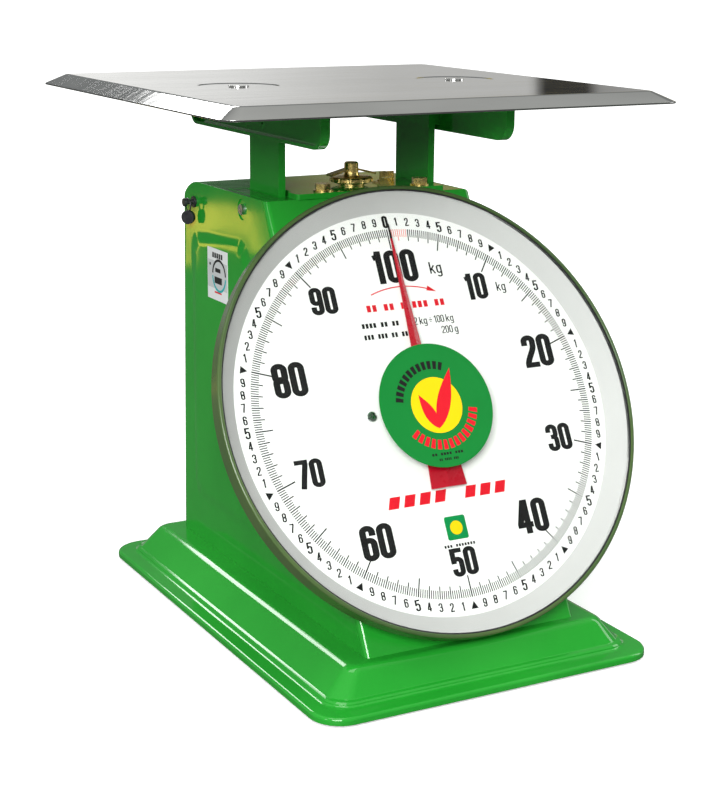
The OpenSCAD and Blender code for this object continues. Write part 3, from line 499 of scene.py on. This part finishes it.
def shading_group():
    """Smooth shading across edges that bend less than SMOOTH_UNDER."""
    group = bpy.data.node_groups.new("smooth_by_angle", "GeometryNodeTree")
    group.interface.new_socket("Geometry", in_out="INPUT", socket_type="NodeSocketGeometry")
    group.interface.new_socket("Geometry", in_out="OUTPUT", socket_type="NodeSocketGeometry")
    nodes, links = group.nodes, group.links
    start, end = nodes.new("NodeGroupInput"), nodes.new("NodeGroupOutput")
    faces, edges = nodes.new("GeometryNodeSetShadeSmooth"), nodes.new("GeometryNodeSetShadeSmooth")
    faces.domain = "FACE"
    edges.domain = "EDGE"
    faces.inputs["Shade Smooth"].default_value = True
    bend = nodes.new("GeometryNodeInputMeshEdgeAngle")
    soft = nodes.new("FunctionNodeCompare")
    soft.operation = "LESS_THAN"
    soft.inputs["B"].default_value = SMOOTH_UNDER
    links.new(start.outputs["Geometry"], faces.inputs["Geometry"])
    links.new(faces.outputs["Geometry"], edges.inputs["Geometry"])
    links.new(bend.outputs["Unsigned Angle"], soft.inputs["A"])
    links.new(soft.outputs["Result"], edges.inputs["Shade Smooth"])
    links.new(edges.outputs["Geometry"], end.inputs["Geometry"])
    return group


SHADING = shading_group()


def soften(node, width):
    """Rounds a CAD node's sharp edges for its highlights; its own mesh stays as it is."""
    weld = node.modifiers.new("weld", "WELD")
    weld.merge_threshold = 0.002 * MM
    flat = node.modifiers.new("flat", "DECIMATE")
    flat.decimate_type = "DISSOLVE"
    flat.angle_limit = math.radians(0.4)
    edge = node.modifiers.new("edge", "BEVEL")
    edge.width = width
    edge.segments = 3
    edge.limit_method = "ANGLE"
    edge.angle_limit = ROUND_OVER
    edge.use_clamp_overlap = True
    shade = node.modifiers.new("shade", "NODES")
    shade.node_group = SHADING
    even = node.modifiers.new("even", "WEIGHTED_NORMAL")
    even.keep_sharp = True


for entry in frame["record"]["subparts"]:
    node = NODES[entry["node"]]
    slot = entry["material_slot"]
    node.data.materials.clear()
    node.data.materials.append(OWN_FINISH.get(entry["node"], MATERIALS[slot]))
    if entry["node"] not in SHARP:
        soften(node, WIDE_EDGE.get(entry["node"], SOFT_EDGE.get(slot, OTHER_EDGE)) * MM)


# ------------------------------------------------------------------ print on the dial, badge and label

ON_DIAL = DIAL @ Matrix.Translation((0, 0, FACE))
ON_BADGE = DIAL @ Matrix.Translation((0, 0, BADGE_TOP))


def polar(r, degrees):
    """A point on the dial, with the angle clockwise from the top."""
    a = math.radians(degrees)
    return (r * math.sin(a), r * math.cos(a))


FULL_LOAD = 100
STEPS_PER_KG = 5
ZONE_KG = 2                                             # the pale red ticks below the least load
TICK_OUTER = 137 * MM
# Inner radius and width of a tick, in millimetres
TICK_10_KG = (121.5, 1.0)
TICK_5_KG = (123.5, 0.9)
TICK_1_KG = (128, 0.8)
TICK_STEP = (131, 0.68)
DIGIT_R = 142.8 * MM
NUMERAL_R = 108.5 * MM
NUMERAL_R_50 = 111.5 * MM                               # lower, clear of the mark above it


def clockwise(degrees):
    return Matrix.Rotation(-math.radians(degrees), 4, "Z")


def tick(shapes, degrees, measures):
    inner, half = measures[0] * MM, measures[1] * MM / 2
    outline = [(-half, inner), (half, inner), (half, TICK_OUTER), (-half, TICK_OUTER)]
    shapes.prism(outline, 0, PRINT, clockwise(degrees))


def dial_ticks():
    fine, bold, zone = Shapes(), Shapes(), Shapes()
    for step in range(FULL_LOAD * STEPS_PER_KG):
        degrees = 360 * step / (FULL_LOAD * STEPS_PER_KG)
        in_zone = 0 < step < ZONE_KG * STEPS_PER_KG
        if step % (10 * STEPS_PER_KG) == 0:
            tick(bold, degrees, TICK_10_KG)
        elif step % (5 * STEPS_PER_KG) == 0:
            tick(bold, degrees, TICK_5_KG)
        elif step % STEPS_PER_KG == 0:
            tick(zone if in_zone else bold, degrees, TICK_1_KG)
        else:
            tick(zone if in_zone else fine, degrees, TICK_STEP)
    fine.piece("dial_ticks_fine", INK_GREY, ON_DIAL)
    bold.piece("dial_ticks_bold", INK_BLACK, ON_DIAL)
    zone.piece("dial_zone_ticks", INK_PINK, ON_DIAL)


def dial_numerals():
    shapes = Shapes()
    for kg in range(10, FULL_LOAD + 1, 10):
        height = (25 if kg % 20 == 0 else 20.4) * MM
        centre = polar(NUMERAL_R_50 if kg == 50 else NUMERAL_R, 360 * kg / FULL_LOAD)
        write(shapes, str(kg), height, centre, 0.16, gap=0.03)
    shapes.piece("dial_numerals", INK_BLACK, ON_DIAL)


def dial_small_print():
    shapes = Shapes()
    write(shapes, "0", 9.5 * MM, polar(DIGIT_R, 0), 0.17)
    arrow = [(-2.9 * MM, 145.4 * MM), (0, 140 * MM), (2.9 * MM, 145.4 * MM)]
    for kg in range(1, FULL_LOAD):
        degrees = 360 * kg / FULL_LOAD
        digit = kg % 10
        if digit == 0:
            shapes.prism(arrow, 0, PRINT, clockwise(degrees))
        else:
            height = (8 if digit == 5 else 6.3) * MM
            write(shapes, str(digit), height, polar(DIGIT_R, degrees), 0.135)
    words = (("kg", 9, (33, 105)), ("kg", 7, (85, 86)), ("2 kg ÷ 100 kg", 5.6, (21.5, 66)),
             ("200 g", 5.6, (33, 57.5)))
    for text, height, centre in words:
        write(shapes, text, height * MM, [c * MM for c in centre], 0.11)
    shapes.piece("dial_small_print", INK_BLACK, ON_DIAL)


# Share of the ink in a bar's step, on a line and on an arc
BAR_FILL = 0.68
ARC_FILL = 0.66


def word_bars(shapes, x0, x1, y, height, words, slant=0.0):
    """A line of plain bars where a line of words would stand. Each word is a number of bars."""
    count = sum(words) + len(words) - 1
    step = (x1 - x0) / count
    x = x0
    for word in words:
        for _ in range(word):
            bar = [(x, y - height / 2), (x + BAR_FILL * step, y - height / 2),
                   (x + BAR_FILL * step + slant, y + height / 2), (x + slant, y + height / 2)]
            shapes.prism([(a * MM, b * MM) for a, b in bar], 0, PRINT)
            x += step
        x += step


def dial_lines():
    """Bars in place of the lines of words, and an arrow along an arc."""
    black, red = Shapes(), Shapes()
    word_bars(black, -38, -7, 66, 3.6, (4, 2, 2))
    word_bars(black, -38, 4, 57.5, 3.6, (3, 3, 2, 4))
    word_bars(red, -31, 35, 78.5, 5, (2, 2, 5, 2))
    word_bars(red, -50, 50, -63, 8.5, (4, 3), 3.0)
    line = [(x * MM, y * MM) for x, y in arc(0, 20, 73, 110, 71, 16)]
    a, b = ribbon_sides(line, 0.9 * MM, False)
    red.prism(a + b[::-1], 0, PRINT)
    head = Matrix.Translation((26.5 * MM, 88 * MM, 0)) @ clockwise(24)
    red.prism([(-5 * MM, -2 * MM), (3 * MM, 0), (-5 * MM, 2 * MM)], PRINT / 2, PRINT * 1.5, head)
    black.piece("dial_word_bars", INK_BLACK, ON_DIAL)
    red.piece("dial_red_print", INK_RED, ON_DIAL)


def dial_mark():
    """A plain disc on a green square, with bars below it."""
    green, yellow, small = Shapes(), Shapes(), Shapes()
    r = 1.5 * MM
    reach = 8.5 * MM - r
    corners = [(reach, reach, 0), (-reach, reach, 90), (-reach, -reach, 180), (reach, -reach, 270)]
    outline = [p for x, y, a in corners for p in arc(x, y, r, a, a + 90, 4)]
    place = Matrix.Translation((0, -87 * MM, 0))
    green.prism(outline, 0, PRINT, place)
    yellow.prism(circle(5 * MM, 32), PRINT, 2 * PRINT, place)
    word_bars(small, -13, 13, -99.5, 2, (3, 7))
    green.piece("dial_mark_square", INK_GREEN, ON_DIAL)
    yellow.piece("dial_mark_disc", INK_YELLOW, ON_DIAL)
    small.piece("dial_mark_bars", INK_GREY, ON_DIAL)


def leaf(tip, width, root=(0, 0)):
    """A leaf outline from its root to its tip, in millimetres."""
    along = Vector((tip[0] - root[0], tip[1] - root[1]))
    side = Vector((-along.y, along.x)).normalized() * width / 2
    steps = [i / 14 for i in range(15)]
    there = [Vector(root) + along * s + side * math.sin(math.pi * s ** 0.8) for s in steps]
    back = [Vector(root) + along * s - side * math.sin(math.pi * s ** 0.8) for s in steps[1:-1]][::-1]
    return [(p.x * MM, p.y * MM) for p in there + back]


def arc_bars(shapes, r, a0, a1, count, height):
    """Plain bars along an arc, where a line of words would stand. Angles are clockwise from the top."""
    step = (a1 - a0) / count
    for i in range(count):
        start = 90 - (a0 + i * step)
        end = start - step * ARC_FILL
        inner = arc(0, 0, (r - height / 2) * MM, start, end, 3)
        outer = arc(0, 0, (r + height / 2) * MM, start, end, 3)
        shapes.prism(inner + outer[::-1], 0, PRINT)


def badge_print():
    """Two leaves on a disc, ringed by bars."""
    yellow, red, black = Shapes(), Shapes(), Shapes()
    yellow.prism(circle(20.5 * MM, 72), 0, PRINT)
    red.prism(leaf((17, 26), 11, (-2, -17)), PRINT, 2 * PRINT)
    red.prism(leaf((-13, 9), 9, (-2, -17)), PRINT, 1.5 * PRINT)
    arc_bars(red, 29, 100, 235, 14, 7)
    arc_bars(black, 29.5, -80, 25, 12, 6)
    for y, x in ((-35.5, 13), (-39.5, 8)):
        word_bars(black, -x, x, y, 1.8, (2, 4, 3))
    yellow.piece("badge_disc", INK_YELLOW, ON_BADGE)
    red.piece("badge_red_print", INK_RED, ON_BADGE)
    black.piece("badge_dark_print", INK_BLACK, ON_BADGE)


def label_print():
    """Plain blocks, a ring in two colours and a line, in place of the side label's print."""
    low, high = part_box("side_label")
    centre = (low + high) / 2
    width, height = high.y - low.y, high.z - low.z
    right, up, out = Vector((0, -1, 0)), Vector((0, 0, 1)), Vector((-1, 0, 0))
    place = Matrix((right, up, out)).transposed().to_4x4()
    place.translation = Vector((low.x, centre.y, centre.z))
    dark, teal, grey, red = Shapes(), Shapes(), Shapes(), Shapes()

    def block(shapes, x0, x1, y0, y1, base=0):
        """A block whose corners are given as shares of the label's half width and half height."""
        corners = [(x0, y0), (x1, y0), (x1, y1), (x0, y1)]
        outline = [(x * width / 2, y * height / 2) for x, y in corners]
        shapes.prism(outline, base, base + PRINT, place)

    block(grey, -0.96, 0.96, -0.55, 0.52)
    for i in range(5):
        block(dark, -0.5 + 0.21 * i, -0.34 + 0.21 * i, 0.64, 0.84)
    r, pen = 0.3 * height, 0.05 * height
    lift = Matrix.Translation((0.08 * width, -0.01 * height, PRINT))
    for shapes, start, end in ((dark, 5, 175), (teal, 185, 355)):
        line = arc(0, 0, r, start, end, 20)
        a, b = ribbon_sides(line, pen, False)
        shapes.prism(a + b[::-1], 0, PRINT, place @ lift)
    block(dark, -0.22, 0.3, 0.1, 0.26, PRINT)
    block(dark, -0.3, 0.44, -0.34, -0.08, PRINT)
    block(dark, -0.8, -0.66, 0.3, 0.4, PRINT)
    block(red, -0.3, 0.4, -0.72, -0.66, PRINT)
    for name, shapes, ink in (("label_grey", grey, INK_SILVER), ("label_dark", dark, INK_GREY),
                              ("label_teal", teal, INK_TEAL), ("label_red", red, INK_RED)):
        shapes.piece(name, ink)


# ------------------------------------------------------------------ pointer

def pointer_blade():
    """The pointer with the lengthwise fold that stiffens it, and its black tip."""
    low, high = dial_span("pointer")
    tip, tail = high.y, low.y
    base, thick = low.z, high.z - low.z
    fold = 0.9 * MM
    black_from = 0.9 * tip
    # Place along the pointer, and half width in millimetres
    stations = [(tip, 0.4), (0.92 * tip, 0.75), (0.8 * tip, 1.3), (0.33 * tip, 4.2), (0.07 * tip, 6),
                (0.48 * tail, 6), (0.69 * tail, 13), (tail, 14.5)]
    verts, faces = [], []
    for y, half in stations:
        half *= MM
        rise = fold * min(1, half / (4 * MM))
        verts += [(-half, y, base), (0, y, base + rise), (half, y, base),
                  (-half, y, base + thick), (0, y, base + thick + rise), (half, y, base + thick)]
    for i in range(len(stations) - 1):
        a, b = 6 * i, 6 * (i + 1)
        for p, q in ((0, 1), (1, 2), (2, 5), (5, 4), (4, 3), (3, 0)):
            faces.append([a + p, a + q, b + q, b + p])
    last = 6 * (len(stations) - 1)
    for s in (0, last):
        faces += [[s, s + 3, s + 4, s + 1], [s + 1, s + 4, s + 5, s + 2]]
    piece = add_piece("pointer_blade", verts, faces, "pointer_arbor", MATERIALS["pointer_red"], DIAL)
    piece.data.materials.append(INK_BLACK)
    inverse = DIAL.inverted()
    for face in piece.data.polygons:
        if (inverse @ face.center).y > black_from:
            face.material_index = 1
    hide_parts("pointer")


# ------------------------------------------------------------------ camera, light and floor

CAMERA_AZIMUTH = math.radians(-28.37)
CAMERA_ELEVATION = math.radians(14.56)
CAMERA_ROLL = math.radians(0.43)
CAMERA_DISTANCE = 1.3359
CAMERA_LENS = 77.62                                     # millimetres
CAMERA_TARGET = Vector((0, 0.0084, 0.1608))


def add_camera():
    a, e = CAMERA_AZIMUTH, CAMERA_ELEVATION
    back = Vector((math.sin(a) * math.cos(e), -math.cos(a) * math.cos(e), math.sin(e)))
    right = Vector((math.cos(a), math.sin(a), 0))
    up = back.cross(right)
    data = bpy.data.cameras.new("camera")
    data.lens = CAMERA_LENS
    camera = bpy.data.objects.new("camera", data)
    bpy.context.scene.collection.objects.link(camera)
    turn = Matrix((right, up, back)).transposed().to_4x4() @ Matrix.Rotation(CAMERA_ROLL, 4, "Z")
    camera.matrix_world = Matrix.Translation(CAMERA_TARGET + back * CAMERA_DISTANCE) @ turn
    bpy.context.scene.camera = camera


LIGHT_TARGET = Vector((0, 0, 0.2))


def add_light(name, place, size, power):
    data = bpy.data.lights.new(name, "AREA")
    data.shape = "RECTANGLE"
    data.size, data.size_y = size
    data.energy = power
    lamp = bpy.data.objects.new(name, data)
    lamp.location = place
    lamp.rotation_euler = (LIGHT_TARGET - Vector(place)).to_track_quat("-Z", "Y").to_euler()
    bpy.context.scene.collection.objects.link(lamp)


def add_world():
    """A dim studio. Behind the scale, a low wall fades from left to right, with a warm band above it."""
    world = bpy.data.worlds.new("studio")
    world.use_nodes = True
    bpy.context.scene.world = world
    nodes, links = world.node_tree.nodes, world.node_tree.links
    place = nodes.new("ShaderNodeTexCoord")
    split = nodes.new("ShaderNodeSeparateXYZ")
    links.new(place.outputs["Generated"], split.inputs["Vector"])

    def step(axis, low, high):
        spread = nodes.new("ShaderNodeMapRange")
        spread.inputs["From Min"].default_value = low
        spread.inputs["From Max"].default_value = high
        links.new(split.outputs[axis], spread.inputs["Value"])
        return spread.outputs["Result"]

    def mixed(factor, one, other):
        mix = nodes.new("ShaderNodeMix")
        mix.data_type = "RGBA"
        links.new(factor, mix.inputs["Factor"])
        for key, value in (("A", one), ("B", other)):
            if isinstance(value, tuple):
                mix.inputs[key].default_value = (*value, 1)
            else:
                links.new(value, mix.inputs[key])
        return mix.outputs["Result"]

    # The wall's brightness from left to right, with a dark doorway near its end
    stops = ((0, 0.7), (0.34, 0.98), (0.44, 0.82), (0.52, 0.6), (0.56, 0.53),
             (0.655, 0.52), (0.662, 0.03), (0.692, 0.04), (0.7, 0.3), (1, 0.3))
    wall = nodes.new("ShaderNodeValToRGB")
    links.new(step("X", 0.1, 0.8), wall.inputs["Fac"])
    elements = wall.color_ramp.elements
    for i, (position, value) in enumerate(stops):
        element = elements[0] if i == 0 else elements.new(position)
        element.position = position
        element.color = (value, value, 0.98 * value, 1)
    elements.remove(elements[-1])
    warm = mixed(step("Y", 0.6, 0.7), (0.1, 0.1, 0.1), (0.42, 0.36, 0.15))
    band = mixed(step("X", 0.42, 0.47), (0.06, 0.07, 0.06), warm)
    above = mixed(step("Z", 0.5, 0.8), (0.24, 0.25, 0.25), (0.62, 0.63, 0.61))
    # Low down is the wall, then the band, then what is above
    low = mixed(step("Z", 0.1, 0.115), wall.outputs["Color"], band)
    links.new(mixed(step("Z", 0.15, 0.2), low, above), nodes["Background"].inputs["Color"])
    nodes["Background"].inputs["Strength"].default_value = 1.0


def add_stage(name, points, material):
    """A flat face that belongs to the studio, not to the scale."""
    mesh = bpy.data.meshes.new(name)
    mesh.from_pydata(points, [], [tuple(range(len(points)))])
    stage = bpy.data.objects.new(name, mesh)
    bpy.context.scene.collection.objects.link(stage)
    mesh.materials.append(material)
    return stage


def glowing(name):
    """A material that only shines, and its shader."""
    mat = bpy.data.materials.new(name)
    mat.use_nodes = True
    nodes = mat.node_tree.nodes
    nodes.remove(nodes["Principled BSDF"])
    shine = nodes.new("ShaderNodeEmission")
    mat.node_tree.links.new(shine.outputs["Emission"], nodes["Material Output"].inputs["Surface"])
    return mat, shine


def add_floor():
    """A pale floor that is white to the eye, and dim in what the paint mirrors."""
    mat = new_material("floor", (0.85, 0.85, 0.85), roughness=0.7)
    nodes, links = mat.node_tree.nodes, mat.node_tree.links
    shader = nodes["Principled BSDF"]
    path = nodes.new("ShaderNodeLightPath")
    place = nodes.new("ShaderNodeTexCoord")
    reach = nodes.new("ShaderNodeVectorMath")
    reach.operation = "LENGTH"
    spread = nodes.new("ShaderNodeMapRange")
    spread.inputs["From Min"].default_value = 0.3
    spread.inputs["From Max"].default_value = 2.0
    spread.inputs["To Min"].default_value = 0.35
    spread.inputs["To Max"].default_value = 0.95
    seen = nodes.new("ShaderNodeMix")
    seen.data_type = "RGBA"
    seen.inputs["A"].default_value = (0.09, 0.1, 0.09, 1)
    seen.inputs["B"].default_value = (0.88, 0.88, 0.88, 1)
    glow = nodes.new("ShaderNodeMath")
    glow.operation = "MULTIPLY"
    links.new(place.outputs["Object"], reach.inputs[0])
    links.new(reach.outputs["Value"], spread.inputs["Value"])
    links.new(path.outputs["Is Camera Ray"], seen.inputs["Factor"])
    links.new(seen.outputs["Result"], shader.inputs["Base Color"])
    shader.inputs["Emission Color"].default_value = (1, 1, 1, 1)
    links.new(path.outputs["Is Camera Ray"], glow.inputs[0])
    links.new(spread.outputs["Result"], glow.inputs[1])
    links.new(glow.outputs["Value"], shader.inputs["Emission Strength"])
    half = 40.0
    add_stage("floor", [(-half, -half, 0), (half, -half, 0), (half, half, 0), (-half, half, 0)], mat)


def add_back_card():
    """A bright card behind the scale, blotched so that the pan's edge mirrors something uneven."""
    mat, shine = glowing("back_card")
    nodes, links = mat.node_tree.nodes, mat.node_tree.links
    place = nodes.new("ShaderNodeTexCoord")
    noise = nodes.new("ShaderNodeTexNoise")
    noise.inputs["Scale"].default_value = 11
    noise.inputs["Detail"].default_value = 4
    spread = nodes.new("ShaderNodeMapRange")
    spread.inputs["From Min"].default_value = 0.34
    spread.inputs["From Max"].default_value = 0.43
    spread.inputs["To Min"].default_value = 1.5
    spread.inputs["To Max"].default_value = 9
    links.new(place.outputs["Object"], noise.inputs["Vector"])
    links.new(noise.outputs["Fac"], spread.inputs["Value"])
    links.new(spread.outputs["Result"], shine.inputs["Strength"])
    across, up = 0.68, 0.32
    corners = [(-across, 0, -up), (across, 0, -up), (across, 0, up), (-across, 0, up)]
    card = add_stage("back_card", corners, mat)
    card.location = (0.12, 2.3, 1.62)
    card.rotation_euler = (math.radians(31), 0, 0)


def add_warm_card():
    """A warm card on the floor behind the scale, cut as an arch: the side's raised border mirrors it."""
    mat, shine = glowing("warm_card")
    shine.inputs["Color"].default_value = (1, 0.72, 0.12, 1)
    shine.inputs["Strength"].default_value = 3.2
    left = [(-0.6, 1.4), (-0.81, 1.89), (-0.94, 2.1), (-0.98, 2.04)]
    right = [(-0.97, 1.9), (-0.81, 1.52), (-0.77, 1.48)]
    inside = [(-0.83, 1.65), (-0.84, 1.78), (-0.78, 1.75), (-0.66, 1.48)]
    above_floor = 2 * MM
    card = add_stage("warm_card", [(x, y, above_floor) for x, y in left + right + inside], mat)
    card.visible_camera = False
    card.visible_diffuse = False


dial_ticks()
dial_numerals()
dial_small_print()
dial_lines()
dial_mark()
badge_print()
label_print()
pointer_blade()
add_camera()
add_world()
add_floor()
add_back_card()
add_warm_card()
add_light("key", (-1.75, -2.3, 1.45), (1.6, 1.2), 112)
add_light("top", (-0.6, -0.4, 2.6), (1.4, 1.4), 18)
add_light("side", (1.9, -0.6, 1.2), (0.8, 1.6), 14)
add_light("left_strip", (-2.3, -0.75, 1.15), (0.25, 0.9), 5)
bpy.context.scene.view_settings.view_transform = "Standard"
